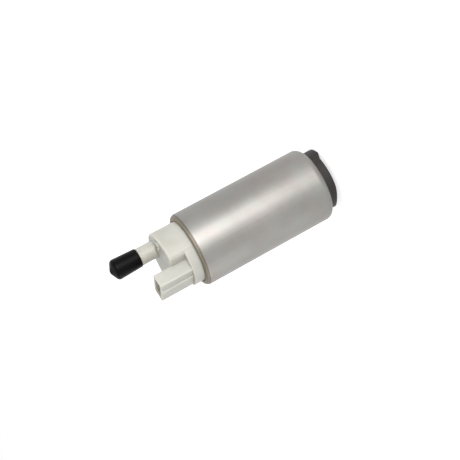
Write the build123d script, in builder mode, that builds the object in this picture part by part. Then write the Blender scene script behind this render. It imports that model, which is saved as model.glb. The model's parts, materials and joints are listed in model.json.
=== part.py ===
from build123d import *
import math
import os

os.makedirs("parts", exist_ok=True)

# Electric fuel pump for a petrol tank, in millimetres.
# The pump axis is Z, with the inlet face at the bottom and the outlet on top.
# The outlet nipple stands on the +X side and the connector on the -X side.

# Steel can
can_diameter = 38.0
can_wall = 1.2
can_length = 72.6
inlet_bend = 3.9
outlet_bend = 2.3
lip_round = 0.3

# Clearances
slip = 0.1
press = 0.02
running = 0.05
contact_gap = 0.1

# Inlet cover
inlet_boss_diameter = 30.6
inlet_stand_out = 5.95
inlet_flange_thickness = 4.0
land_height = 1.6
pad_edge = 7.1
pad_flank = 4.0
face_round_start = 10.3
face_round = 12.3
inlet_bore_diameter = 10.0
inlet_bore_depth = 4.0
inlet_bore_chamfer = 0.4
inlet_land_diameter = 13.0
centre_boss_diameter = 12.0
inlet_port_diameter = 3.0
inlet_port_inset = 2.9
inlet_port_offset = 3.2
vent_diameter = 1.2
vent_angle = 200.0

# Impeller and the channel that it runs in
impeller_wall = 3.1
impeller_thickness = 3.6
impeller_side_gap = 0.1
impeller_rim_gap = 0.25
vane_count = 36
vane_pocket_length = 3.0
vane_pocket_width = 1.5
vane_web = 0.6
balance_hole_diameter = 1.6
balance_hole_radius = 6.5
balance_hole_count = 4
channel_depth = 1.6
channel_round = 1.1
channel_start = -8.0
channel_arc = 310.0

# Pump casing
casing_thickness = 8.0
casing_boss_diameter = 11.0
casing_boss_height = 3.0
casing_port_diameter = 3.0
casing_port_inset = 1.6
casing_port_angle = -72.0
pip_diameter = 1.6
pip_height = 1.0
pip_inset = 1.4
pip_count = 3

# Rubber seals
seal_section = 1.7
seal_groove_width = 2.2
casing_seal_height = 2.9
cover_seal_drop = 4.6

# Shaft and its bearings
shaft_diameter = 4.0
shaft_flat_depth = 0.5
thrust_button_diameter = 4.5
thrust_button_height = 1.4
thrust_pocket_depth = 5.2
bush_diameter = 6.4
bush_length = 6.0
bush_chamfer = 0.4

# Magnets and the ring behind them
flux_ring_thickness = 1.6
flux_ring_overhang = 1.9
magnet_thickness = 3.35
magnet_length = 36.0
magnet_lift = 4.1
magnet_arc = 136.0
magnet_chamfer = 0.6
clip_thickness = 0.6
clip_leg = 2.6
clip_set_back = 1.0

# Armature
air_gap = 0.6
core_inset = 5.0
slot_count = 8
tooth_width = 3.2
slot_floor_radius = 6.2
slot_roof_radius = 10.4
slot_mouth = 1.8
slot_liner = 0.3
insulator_thickness = 0.5
end_turn_height = 3.5
end_turn_inner_radius = 4.8
end_turn_outer_radius = 10.6
end_turn_chamfer = 1.2

# Flat commutator
commutator_diameter = 18.4
commutator_lift = 0.6
commutator_hub_height = 3.4
segment_thickness = 1.5
segment_bore_diameter = 6.4
segment_gap = 0.6
tang_width = 1.6
tang_thickness = 0.6
tang_drop = 2.0

# Outlet cover
collar_diameter = 31.9
collar_height = 5.0
tower_height = 13.05
tower_chord = 6.4
tower_step = 0.1
collar_edge = 0.3
tower_corner = 2.0
tower_round = 0.8
cavity_diameter = 31.2
cavity_depth = 6.0
bearing_boss_diameter = 9.2
bearing_boss_drop = 2.0
shaft_end_room = 1.0
tube_wall = 1.0
tube_clear = 1.2

# Connector on the outlet cover
connector_inner = 5.9
connector_depth = 7.2
connector_width = 16.0
connector_height = 22.15
connector_round = 0.6
connector_edge = 0.25
socket_mouth = 0.3
socket_wall = 1.2
socket_depth = 13.6
rib_width = 5.0
rib_height = 0.8
rib_round = 0.7

# Outlet nipple and its cap
nipple_offset = 9.45
nipple_diameter = 8.8
nipple_shank = 8.7
nipple_flare = 0.2
nipple_root_depth = 2.0
nipple_edge = 0.4
nipple_bore_diameter = 4.6
barb_root_diameter = 7.2
barb_diameter = 8.0
barb_pitch = 3.6
barb_count = 3
barb_edge = 0.5
barb_stand_off = 1.2
cap_mouth_diameter = 9.5
cap_end_diameter = 10.6
cap_length = 13.2
cap_cone_height = 2.2
cap_cone_tip_diameter = 1.6
cap_round = 0.5
cap_shoulder_round = 2.0
cap_end_room = 0.4

# Brushes and their wiring
brush_inset = 2.8
brush_width = 5.0
brush_depth = 4.0
brush_height = 9.0
brush_chamfer = 0.3
brush_spring_length = 7.3
brush_spring_diameter = 3.6
brush_wire = 0.45
lead_diameter = 0.9
contact_thickness = 0.5
contact_arm_height = 0.9
contact_riser_width = 1.0
contact_riser_x = -4.9
contact_plate_width = 4.0
contact_plate_depth = 3.4
choke_core_diameter = 2.0
choke_diameter = 4.8
choke_length = 10.4
choke_pocket_depth = 12.0
choke_lift = 0.55
choke_flange = 0.8
terminal_offset = 3.6
terminal_width = 2.8
terminal_thickness = 0.8
terminal_reach = 7.0
terminal_foot_width = 5.6
terminal_foot_height = 1.6
terminal_chamfer = 0.5

# Check valve in the outlet
check_bore_diameter = 8.0
check_roof = 4.0
check_seat_lift = 0.5
check_seat_height = 7.0
check_seat_bore_diameter = 4.4
check_seat_chamfer = 0.9
poppet_diameter = 6.8
poppet_head_height = 2.0
poppet_stem_diameter = 2.4
poppet_stem_length = 6.0
poppet_fin_count = 3
poppet_fin_thickness = 0.9
poppet_fin_reach = 0.5
check_spring_diameter = 6.4
check_wire = 0.5

# Relief valve beside it
relief_x = 5.5
relief_y = -9.8
relief_bore_diameter = 3.6
relief_feed_diameter = 2.0
relief_chamber_depth = 8.3
relief_rim_diameter = 4.8
relief_rim_height = 0.7
relief_rim_edge = 0.25
relief_ball_diameter = 3.2
relief_wire = 0.35
relief_spring_diameter = 2.9
relief_plug_length = 2.4
relief_vent_diameter = 1.4

# Heights and radii that follow from the sizes above
can_radius = can_diameter / 2
bore_radius = can_radius - can_wall
fit_radius = bore_radius - slip
can_foot = inlet_stand_out
can_top = can_foot + can_length
inlet_boss_radius = inlet_boss_diameter / 2
flange_foot = can_foot + can_wall + slip
pump_face = flange_foot + inlet_flange_thickness
impeller_radius = fit_radius - impeller_wall
inlet_port_radius = impeller_radius - inlet_port_inset
inlet_bore_offset = inlet_port_radius - inlet_port_offset
casing_port_radius = impeller_radius - casing_port_inset
pip_radius = fit_radius - pip_inset
impeller_foot = pump_face + impeller_side_gap
chamber_roof = impeller_foot + impeller_thickness + impeller_side_gap
chamber_radius = impeller_radius + impeller_rim_gap
channel_inner_radius = impeller_radius - vane_pocket_length - impeller_rim_gap
vent_radius = (channel_inner_radius + impeller_radius) / 2
casing_top = pump_face + casing_thickness
magnet_foot = casing_top + magnet_lift
flux_ring_top = magnet_foot + magnet_length + flux_ring_overhang
magnet_outer_radius = fit_radius - flux_ring_thickness - running
magnet_inner_radius = magnet_outer_radius - magnet_thickness
core_radius = magnet_inner_radius - air_gap
core_foot = magnet_foot + core_inset
core_top = magnet_foot + magnet_length - core_inset
end_turn_foot = core_foot - insulator_thickness - end_turn_height
end_turn_top = core_top + insulator_thickness + end_turn_height
commutator_foot = end_turn_top + commutator_lift
segment_foot = commutator_foot + commutator_hub_height
commutator_face = segment_foot + segment_thickness
shaft_radius = shaft_diameter / 2
thrust_foot = pump_face - thrust_pocket_depth
shaft_foot = thrust_foot + thrust_button_height + contact_gap
cavity_roof = flux_ring_top + cavity_depth
bearing_boss_foot = cavity_roof - bearing_boss_drop
shaft_top = bearing_boss_foot + bush_length - slip
shoulder_top = can_top - can_wall - slip
collar_radius = collar_diameter / 2
collar_top = can_top + collar_height
tower_top = can_top + tower_height
connector_centre = connector_inner + connector_depth / 2
connector_top = can_top + connector_height
socket_floor = connector_top - socket_depth
nipple_radius = nipple_diameter / 2
nipple_shoulder = tower_top + nipple_shank
barb_feet = [nipple_shoulder + barb_stand_off + turn * barb_pitch
             for turn in range(barb_count)]
nipple_tip = nipple_shoulder + barb_stand_off + barb_count * barb_pitch
cap_mouth = nipple_shoulder + contact_gap
cap_cone_foot = cap_mouth + cap_length
brush_radius = commutator_diameter / 2 - brush_inset
brush_places = [(0, brush_radius), (0, -brush_radius)]
brush_foot = commutator_face + contact_gap
brush_top = brush_foot + brush_height
contact_foot = brush_top + brush_spring_length
contact_top = contact_foot + contact_thickness
choke_foot = cavity_roof + choke_lift
choke_top = choke_foot + choke_length
strip_foot = choke_foot - contact_gap - contact_arm_height
terminal_foot = choke_top + contact_gap
terminal_tip = socket_floor + terminal_reach
terminal_foot_offset = terminal_offset + (terminal_foot_width - terminal_width) / 2
check_roof_height = tower_top - check_roof
check_seat_foot = cavity_roof + check_seat_lift
check_seat_top = check_seat_foot + check_seat_height
poppet_foot = check_seat_top + contact_gap
poppet_top = poppet_foot + poppet_head_height
relief_floor = tower_top - relief_chamber_depth
relief_rim_top = tower_top + relief_rim_height
relief_plug_foot = relief_rim_top - relief_plug_length
nipple_axis = Axis((nipple_offset, 0, 0), (0, 0, 1))


def radial_plane(angle):
    """Upright plane through the pump axis whose X points outwards at an angle."""
    turn = math.radians(angle)
    outward = Vector(math.cos(turn), math.sin(turn), 0)
    return Plane(origin=(0, 0, 0), x_dir=outward, z_dir=outward.cross(Vector(0, 0, 1)))


def upright_plane(x, y):
    """Plane through (x, y) whose X is the pump's X and whose Y is up."""
    return Plane(origin=(x, y, 0), x_dir=(1, 0, 0), z_dir=(0, -1, 0))


def save(part, name):
    part.label = name
    export_step(part, f"parts/{name}.step")


# Can: a barrel whose two ends are rolled inwards over the covers
with BuildPart() as can_shell:
    with BuildSketch(Plane.XZ):
        with Locations((0, can_foot)):
            Rectangle(can_radius, can_length, align=(Align.MIN, Align.MIN))
        fillet(vertices().group_by(Axis.X)[-1].sort_by(Axis.Y)[0], inlet_bend)
        fillet(vertices().group_by(Axis.X)[-1].sort_by(Axis.Y)[-1], outlet_bend)
    revolve(axis=Axis.Z)
    with BuildSketch(Plane.XZ):
        with Locations((0, can_foot + can_wall)):
            Rectangle(bore_radius, can_length - 2 * can_wall, align=(Align.MIN, Align.MIN))
        fillet(vertices().group_by(Axis.X)[-1].sort_by(Axis.Y)[0], inlet_bend - can_wall)
        fillet(vertices().group_by(Axis.X)[-1].sort_by(Axis.Y)[-1], outlet_bend - can_wall)
    revolve(axis=Axis.Z, mode=Mode.SUBTRACT)
    with BuildSketch(Plane.XY.offset(can_foot)):
        Circle(inlet_boss_radius + 2 * slip)
    extrude(amount=inlet_bend, mode=Mode.SUBTRACT)
    with BuildSketch(Plane.XY.offset(can_top)):
        Circle(collar_radius + 2 * slip)
    extrude(amount=-outlet_bend, mode=Mode.SUBTRACT)
    fillet(edges().filter_by(GeomType.CIRCLE).sort_by(Axis.Z)[-1], lip_round)
save(can_shell.part, "can_shell")


def channel_profile(height):
    """Section of the ring channel beside the impeller vanes, centred on a height."""
    with BuildSketch(radial_plane(channel_start)) as profile:
        with Locations((channel_inner_radius, height)):
            Rectangle(impeller_radius - channel_inner_radius, 2 * channel_depth,
                      align=(Align.MIN, Align.CENTER))
        fillet(vertices(), channel_round)
    return profile.sketch


# Inlet cover: the plate that carries the strainer and feeds the impeller
with BuildPart() as inlet_cover:
    with BuildSketch(Plane.XY):
        Circle(inlet_boss_radius)
    extrude(amount=flange_foot)
    with BuildSketch(Plane.XZ):
        with BuildLine():
            Polyline((inlet_boss_radius, 0), (pad_edge, 0), (pad_edge - pad_flank, land_height),
                     (-face_round_start, land_height))
            RadiusArc((-face_round_start, land_height),
                      (-inlet_boss_radius, land_height + face_round - math.sqrt(
                          face_round ** 2 - (inlet_boss_radius - face_round_start) ** 2)),
                      face_round)
            Polyline((-inlet_boss_radius, land_height + face_round - math.sqrt(
                face_round ** 2 - (inlet_boss_radius - face_round_start) ** 2)),
                (-inlet_boss_radius, -land_height), (inlet_boss_radius, -land_height),
                (inlet_boss_radius, 0))
        make_face()
    extrude(amount=inlet_boss_radius, both=True, mode=Mode.SUBTRACT)
    with BuildSketch(Plane.XY):
        with Locations((inlet_bore_offset, 0)):
            Circle(inlet_land_diameter / 2)
        Circle(centre_boss_diameter / 2)
    extrude(amount=flange_foot)
    with BuildSketch(Plane.XZ):
        with Locations((0, flange_foot)):
            Rectangle(fit_radius, inlet_flange_thickness, align=(Align.MIN, Align.MIN))
        fillet(vertices().group_by(Axis.X)[-1].sort_by(Axis.Y)[0], inlet_bend - can_wall - slip)
    revolve(axis=Axis.Z)
    revolve(channel_profile(pump_face), axis=Axis.Z, revolution_arc=channel_arc,
            mode=Mode.SUBTRACT)
    with BuildSketch(Plane.XY):
        with Locations((inlet_bore_offset, 0)):
            Circle(inlet_bore_diameter / 2)
    extrude(amount=inlet_bore_depth, mode=Mode.SUBTRACT)
    with BuildSketch(Plane.XY):
        with Locations((inlet_bore_offset, 0)):
            Circle(inlet_bore_diameter / 2 + inlet_bore_chamfer)
    extrude(amount=inlet_bore_chamfer, taper=45, mode=Mode.SUBTRACT)
    with BuildSketch(Plane.XY.offset(inlet_bore_depth)):
        with Locations((inlet_port_radius, 0)):
            Circle(inlet_port_diameter / 2)
    extrude(until=Until.LAST, mode=Mode.SUBTRACT)
    with BuildSketch(Plane.XY.offset(thrust_foot)):
        Circle(thrust_button_diameter / 2 + press)
    extrude(amount=thrust_pocket_depth, mode=Mode.SUBTRACT)
    with BuildSketch(Plane.XY.offset(pump_face)):
        with PolarLocations(vent_radius, 1, start_angle=vent_angle):
            Circle(vent_diameter / 2)
    extrude(until=Until.LAST, dir=(0, 0, -1), mode=Mode.SUBTRACT)
    with BuildSketch(Plane.XY.offset(pump_face)):
        with PolarLocations(pip_radius, pip_count):
            Circle(pip_diameter / 2 + slip)
    extrude(amount=-pip_height - slip, mode=Mode.SUBTRACT)
save(inlet_cover.part, "inlet_cover")

# Thrust button: the hard pad that the shaft end turns on
with BuildPart() as thrust_button:
    with BuildSketch(Plane.XY.offset(thrust_foot)):
        Circle(thrust_button_diameter / 2)
    extrude(amount=thrust_button_height)
save(thrust_button.part, "thrust_button")


def seal_groove(height):
    """Section of the groove round the outside for a rubber ring."""
    with BuildSketch(Plane.XZ) as profile:
        with Locations((bore_radius - seal_section - 2 * running, height)):
            Rectangle(seal_section + 3 * running, seal_groove_width,
                      align=(Align.MIN, Align.CENTER))
    return profile.sketch


lower_bush_foot = casing_top + casing_boss_height - bush_length

# Pump casing: the wall between the impeller and the motor
with BuildPart() as pump_casing:
    with BuildSketch(Plane.XY.offset(pump_face)):
        Circle(fit_radius)
    extrude(amount=casing_thickness)
    with BuildSketch(Plane.XY.offset(casing_top)):
        Circle(casing_boss_diameter / 2)
    extrude(amount=casing_boss_height)
    with BuildSketch(Plane.XY.offset(pump_face)):
        Circle(chamber_radius)
    extrude(amount=chamber_roof - pump_face, mode=Mode.SUBTRACT)
    revolve(channel_profile(chamber_roof), axis=Axis.Z, revolution_arc=channel_arc,
            mode=Mode.SUBTRACT)
    with BuildSketch(Plane.XY.offset(chamber_roof)):
        Circle(shaft_radius + contact_gap)
    extrude(amount=casing_thickness, mode=Mode.SUBTRACT)
    with BuildSketch(Plane.XY.offset(lower_bush_foot)):
        Circle(bush_diameter / 2 + press)
    extrude(amount=bush_length, mode=Mode.SUBTRACT)
    with BuildSketch(Plane.XY.offset(chamber_roof)):
        with PolarLocations(casing_port_radius, 1, start_angle=casing_port_angle):
            Circle(casing_port_diameter / 2)
    extrude(amount=casing_thickness, mode=Mode.SUBTRACT)
    revolve(seal_groove(pump_face + casing_seal_height), axis=Axis.Z, mode=Mode.SUBTRACT)
    with BuildSketch(Plane.XY.offset(pump_face)):
        with PolarLocations(pip_radius, pip_count):
            Circle(pip_diameter / 2)
    extrude(amount=-pip_height)
save(pump_casing.part, "pump_casing")

# Rubber rings round the pump casing and the outlet cover
seal_heights = {"casing_seal": pump_face + casing_seal_height,
                "cover_seal": shoulder_top - cover_seal_drop}
for seal_name, seal_height in seal_heights.items():
    with BuildPart() as seal:
        with BuildSketch(Plane.XZ):
            with Locations((bore_radius - running - seal_section / 2, seal_height)):
                Circle(seal_section / 2)
        revolve(axis=Axis.Z)
    save(seal.part, seal_name)

# Impeller: a disc with a ring of turbine vanes in both faces
vane_sweep = impeller_thickness / 2 - vane_web / 2
with BuildPart() as impeller:
    with BuildSketch(Plane.XY.offset(impeller_foot)):
        Circle(impeller_radius)
        with BuildSketch(mode=Mode.PRIVATE) as shaft_hole:
            Circle(shaft_radius + press)
            with Locations((shaft_radius - shaft_flat_depth + press, 0)):
                Rectangle(shaft_diameter, shaft_diameter + 1, align=(Align.MIN, Align.CENTER),
                          mode=Mode.SUBTRACT)
        add(shaft_hole.sketch, mode=Mode.SUBTRACT)
        with PolarLocations(balance_hole_radius, balance_hole_count):
            Circle(balance_hole_diameter / 2, mode=Mode.SUBTRACT)
    extrude(amount=impeller_thickness)
    vane_root = impeller_radius - vane_pocket_length
    impeller_top = impeller_foot + impeller_thickness
    for face_height, down in ((impeller_top, 1), (impeller_foot, -1)):
        with BuildPart(mode=Mode.PRIVATE) as vane_pocket:
            with BuildSketch(Plane.XZ):
                with BuildLine():
                    ridge = (impeller_radius, face_height - down * vane_sweep)
                    JernArc((vane_root, face_height), (0, -down), vane_sweep, down * 90)
                    Polyline((vane_root + vane_sweep, face_height - down * vane_sweep), ridge,
                             (impeller_radius + 1, face_height - down * vane_sweep),
                             (impeller_radius + 1, face_height), (vane_root, face_height))
                make_face()
            extrude(amount=vane_pocket_width / 2, both=True)
        with PolarLocations(0, vane_count):
            add(vane_pocket.part, mode=Mode.SUBTRACT)
save(impeller.part, "impeller")

# Shaft: round steel rod with a flat where it drives the impeller
with BuildPart() as rotor_shaft:
    with BuildSketch(Plane.XY.offset(shaft_foot)):
        Circle(shaft_radius)
    extrude(amount=shaft_top - shaft_foot)
    with BuildSketch(Plane.XY.offset(shaft_foot)):
        with Locations((shaft_radius - shaft_flat_depth, 0)):
            Rectangle(shaft_diameter, 2 * shaft_diameter, align=(Align.MIN, Align.CENTER))
    extrude(amount=chamber_roof - shaft_foot, mode=Mode.SUBTRACT)
save(rotor_shaft.part, "rotor_shaft")

# Carbon bushes at the two ends of the shaft
bush_feet = {"lower_bush": lower_bush_foot, "upper_bush": bearing_boss_foot}
for bush_name, bush_foot in bush_feet.items():
    with BuildPart() as bush:
        with BuildSketch(Plane.XY.offset(bush_foot)):
            Circle(bush_diameter / 2)
            Circle(shaft_radius + running, mode=Mode.SUBTRACT)
        extrude(amount=bush_length)
        bush_rims = edges().filter_by(GeomType.CIRCLE).filter_by(
            lambda edge: edge.radius > shaft_radius + slip)
        chamfer(bush_rims, bush_chamfer)
    save(bush.part, bush_name)

# Flux ring: the soft iron sleeve behind the magnets
with BuildPart() as flux_ring:
    with BuildSketch(Plane.XY.offset(casing_top)):
        Circle(fit_radius)
        Circle(fit_radius - flux_ring_thickness, mode=Mode.SUBTRACT)
    extrude(amount=flux_ring_top - casing_top)
save(flux_ring.part, "flux_ring")

# Magnets: two curved ferrite blocks, one on each side of the armature
for magnet_name, magnet_angle in (("magnet_north", 0.0), ("magnet_south", 180.0)):
    with BuildPart() as magnet:
        with BuildSketch(radial_plane(magnet_angle - magnet_arc / 2)):
            with Locations((magnet_inner_radius, magnet_foot)):
                Rectangle(magnet_thickness, magnet_length, align=(Align.MIN, Align.MIN))
            chamfer(vertices().group_by(Axis.X)[0], magnet_chamfer)
        revolve(axis=Axis.Z, revolution_arc=magnet_arc)
    save(magnet.part, magnet_name)

# Magnet clips: U-shaped springs that wedge the magnets apart
clip_edge = (180 - magnet_arc) / 2
clip_foot = magnet_foot + clip_set_back
clip_inset = math.degrees((clip_thickness / 2 + slip) / magnet_inner_radius)
clip_reach = magnet_inner_radius + clip_leg
with BuildPart() as magnet_clips:
    with BuildSketch(Plane.XY.offset(clip_foot)):
        for clip_angle in (90.0, 270.0):
            ends = [Vector(magnet_inner_radius, 0).rotate(Axis.Z, clip_angle + side * angle)
                    for side, angle in ((-1, clip_edge - clip_inset), (1, clip_edge - clip_inset))]
            corners = [end * (clip_reach / magnet_inner_radius) for end in ends]
            with BuildLine():
                Polyline(ends[0], corners[0], corners[1], ends[1])
            trace(line_width=clip_thickness)
    extrude(amount=magnet_length - 2 * clip_set_back)
save(magnet_clips.part, "magnet_clips")


def slot_outline(inset):
    """Four-sided armature slot, drawn along +X, shrunk by an inset on its sides."""
    half_pitch = math.radians(180 / slot_count)
    side = tooth_width / 2 + inset
    floor_x = slot_floor_radius + inset
    roof_x = slot_roof_radius - inset
    floor_y = floor_x * math.tan(half_pitch) - side / math.cos(half_pitch)
    roof_y = roof_x * math.tan(half_pitch) - side / math.cos(half_pitch)
    with BuildSketch() as outline:
        with BuildLine():
            Polyline((floor_x, -floor_y), (roof_x, -roof_y), (roof_x, roof_y),
                     (floor_x, floor_y), close=True)
        make_face()
    return outline.sketch


with BuildSketch() as lamination:
    Circle(core_radius)
    Circle(shaft_radius + press, mode=Mode.SUBTRACT)
    with PolarLocations(0, slot_count):
        add(slot_outline(0), mode=Mode.SUBTRACT)
    with PolarLocations(slot_roof_radius - slip, slot_count):
        Rectangle(core_radius, slot_mouth, align=(Align.MIN, Align.CENTER), mode=Mode.SUBTRACT)

# Armature core: the stack of slotted steel laminations
with BuildPart() as rotor_core:
    with BuildSketch(Plane.XY.offset(core_foot)):
        add(lamination.sketch)
    extrude(amount=core_top - core_foot)
save(rotor_core.part, "rotor_core")

# Insulators: fibre end plates of the same outline as the laminations
with BuildPart() as winding_insulators:
    with BuildSketch(Plane.XY.offset(core_foot), Plane.XY.offset(core_top + insulator_thickness)):
        add(lamination.sketch)
    extrude(amount=-insulator_thickness)
save(winding_insulators.part, "winding_insulators")

# Windings: copper in the slots, joined by the turns over both ends of the core
with BuildPart() as rotor_windings:
    with BuildSketch(Plane.XY.offset(end_turn_foot + end_turn_height)):
        with PolarLocations(0, slot_count):
            add(slot_outline(slot_liner))
    extrude(amount=end_turn_top - end_turn_foot - 2 * end_turn_height)
    for turn_foot in (end_turn_foot, end_turn_top - end_turn_height):
        with BuildSketch(Plane.XZ):
            with Locations((end_turn_inner_radius, turn_foot)):
                Rectangle(end_turn_outer_radius - end_turn_inner_radius, end_turn_height,
                          align=(Align.MIN, Align.MIN))
            chamfer(vertices(), end_turn_chamfer)
        revolve(axis=Axis.Z)
save(rotor_windings.part, "rotor_windings")

# Commutator: a moulded hub with flat copper segments that the brushes press on
with BuildPart() as commutator_hub:
    with BuildSketch(Plane.XY.offset(commutator_foot)):
        Circle(commutator_diameter / 2)
        Circle(shaft_radius + press, mode=Mode.SUBTRACT)
    extrude(amount=commutator_hub_height)
save(commutator_hub.part, "commutator_hub")

with BuildPart() as commutator_segments:
    with BuildSketch(Plane.XY.offset(segment_foot)):
        Circle(commutator_diameter / 2 + tang_thickness)
        Circle(segment_bore_diameter / 2, mode=Mode.SUBTRACT)
        with PolarLocations(0, slot_count, start_angle=180 / slot_count):
            Rectangle(commutator_diameter, segment_gap, align=(Align.MIN, Align.CENTER),
                      mode=Mode.SUBTRACT)
    extrude(amount=segment_thickness)
    with BuildSketch(Plane.XY.offset(segment_foot)):
        with PolarLocations(commutator_diameter / 2 + slip, slot_count):
            Rectangle(tang_thickness - slip, tang_width, align=(Align.MIN, Align.CENTER))
    extrude(amount=-tang_drop)
save(commutator_segments.part, "commutator_segments")


def on_side(side, name):
    """Name of a piece that comes as a positive (+Y) and a negative (-Y) one."""
    return f"{name}_positive" if side > 0 else f"{name}_negative"


def contact_outline(side, gap):
    """Strip from under the choke, up the riser and over the brush spring, seen along Y."""
    strip_end = -connector_centre - contact_riser_width
    with BuildSketch(upright_plane(0, side * brush_radius)) as outline:
        with BuildLine():
            Polyline((strip_end, strip_foot), (contact_riser_x, strip_foot),
                     (contact_riser_x, contact_foot), (contact_plate_width / 2, contact_foot),
                     (contact_plate_width / 2, contact_top),
                     (contact_riser_x - contact_riser_width, contact_top),
                     (contact_riser_x - contact_riser_width, strip_foot + contact_arm_height),
                     (strip_end, strip_foot + contact_arm_height), close=True)
        make_face()
        offset(amount=gap, kind=Kind.INTERSECTION)
    return outline.sketch


def terminal_outline(side, gap):
    """Blade in the socket with a wide foot over the choke, seen along X."""
    with BuildSketch(Plane.YZ.offset(-connector_centre)) as outline:
        with Locations((side * terminal_offset, terminal_foot)):
            Rectangle(terminal_width, terminal_tip - terminal_foot,
                      align=(Align.CENTER, Align.MIN))
        chamfer(vertices().group_by(Axis.Y)[-1], terminal_chamfer)
        with Locations((side * terminal_foot_offset, terminal_foot)):
            Rectangle(terminal_foot_width, terminal_foot_height,
                      align=(Align.CENTER, Align.MIN))
        offset(amount=gap, kind=Kind.INTERSECTION)
    return outline.sketch


sides = (1, -1)

# Brushes and what feeds them, one set on each side of the shaft
for side in sides:
    brush_y = side * brush_radius

    with BuildPart() as brush:
        with BuildSketch(Plane.XY.offset(brush_foot)):
            with Locations((0, brush_y)):
                Rectangle(brush_width, brush_depth)
        extrude(amount=brush_height)
        chamfer(edges().filter_by(Axis.Z), brush_chamfer)
    save(brush.part, on_side(side, "brush"))

    with BuildPart() as brush_spring:
        with BuildSketch(Plane.XY.offset(brush_top)):
            with Locations((0, brush_y)):
                Circle(brush_spring_diameter / 2)
                Circle(brush_spring_diameter / 2 - brush_wire, mode=Mode.SUBTRACT)
        extrude(amount=brush_spring_length)
    save(brush_spring.part, on_side(side, "brush_spring"))

    with BuildPart() as brush_lead:
        with BuildSketch(Plane.XY.offset(brush_top)):
            with Locations((0, brush_y)):
                Circle(lead_diameter / 2)
        extrude(amount=brush_spring_length)
    save(brush_lead.part, on_side(side, "brush_lead"))

    with BuildPart() as brush_contact:
        extrude(contact_outline(side, 0), amount=contact_thickness / 2, both=True)
        with BuildSketch(Plane.XY.offset(contact_foot)):
            with Locations((0, brush_y)):
                Rectangle(contact_plate_width, contact_plate_depth)
        extrude(amount=contact_thickness)
    save(brush_contact.part, on_side(side, "brush_contact"))

    with BuildPart() as terminal:
        extrude(terminal_outline(side, 0), amount=terminal_thickness / 2, both=True)
    save(terminal.part, on_side(side, "terminal"))

choke_places = [(-connector_centre, side * brush_radius) for side in sides]

# Chokes: ferrite bobbins in the feed to the brushes, each wound with one layer of wire
with BuildPart() as choke_cores:
    with BuildSketch(Plane.XY.offset(choke_foot)):
        with Locations(*choke_places):
            Circle(choke_core_diameter / 2)
    extrude(amount=choke_length)
    with BuildSketch(Plane.XY.offset(choke_foot),
                     Plane.XY.offset(choke_top - choke_flange)):
        with Locations(*choke_places):
            Circle(choke_diameter / 2)
    extrude(amount=choke_flange)
save(choke_cores.part, "choke_cores")

with BuildPart() as choke_windings:
    with BuildSketch(Plane.XY.offset(choke_foot + choke_flange + running)):
        with Locations(*choke_places):
            Circle(choke_diameter / 2 - slip)
            Circle(choke_core_diameter / 2 + running, mode=Mode.SUBTRACT)
    extrude(amount=choke_length - 2 * choke_flange - 2 * running)
save(choke_windings.part, "choke_windings")

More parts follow.
